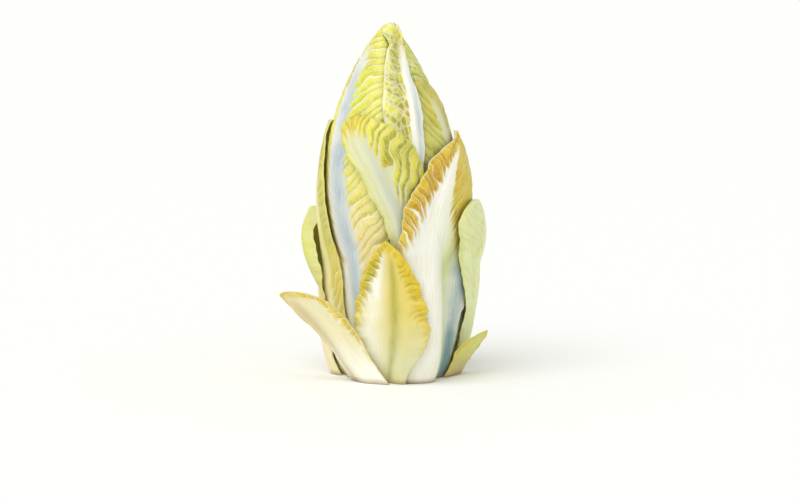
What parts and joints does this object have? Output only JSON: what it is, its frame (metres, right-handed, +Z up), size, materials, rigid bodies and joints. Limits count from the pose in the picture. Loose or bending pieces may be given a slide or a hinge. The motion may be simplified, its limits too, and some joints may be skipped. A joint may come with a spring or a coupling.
{
  "type": "belgian endive",
  "caption": "Squat head of Belgian endive standing on its flat cut, pale ribbed leaves with crinkled yellow and golden margins wrapped one over another.",
  "frame": {"origin": "centre of the stem in the flat cut that the head stands on", "axes": "+Z up along the head to its tip, -Y towards the viewer of the picture, +X to the viewer's right"},
  "size_m": [0.0918, 0.0768, 0.149],
  "materials": {
    "heart": null,
    "inner_leaf_right": null,
    "inner_leaf_left": null,
    "inner_leaf_front": null,
    "tall_leaf_back": null,
    "tall_leaf_back_right": null,
    "shoulder_leaf_right": null,
    "tall_leaf_left": null,
    "tall_leaf_front": null,
    "middle_leaf_front": null,
    "back_leaf_left": null,
    "side_leaf_left": null,
    "back_leaf_right": null,
    "golden_leaf_right": null,
    "outer_leaf_left": null,
    "outer_leaf_right": null,
    "outer_leaf_back": null,
    "short_leaf_front": null,
    "splayed_leaf_left": null,
    "splayed_leaf_right": null,
    "splayed_leaf_back": null
  },
  "bodies": {
    "root": {"heart": "heart", "inner_leaf_right": "inner_leaf_right", "inner_leaf_left": "inner_leaf_left", "inner_leaf_front": "inner_leaf_front", "tall_leaf_back": "tall_leaf_back", "tall_leaf_back_right": "tall_leaf_back_right", "shoulder_leaf_right": "shoulder_leaf_right", "tall_leaf_left": "tall_leaf_left", "tall_leaf_front": "tall_leaf_front", "middle_leaf_front": "middle_leaf_front", "back_leaf_left": "back_leaf_left", "side_leaf_left": "side_leaf_left", "back_leaf_right": "back_leaf_right", "golden_leaf_right": "golden_leaf_right", "outer_leaf_left": "outer_leaf_left", "outer_leaf_right": "outer_leaf_right", "outer_leaf_back": "outer_leaf_back", "short_leaf_front": "short_leaf_front", "splayed_leaf_left": "splayed_leaf_left", "splayed_leaf_right": "splayed_leaf_right", "splayed_leaf_back": "splayed_leaf_back"}
  },
  "joints": []
}
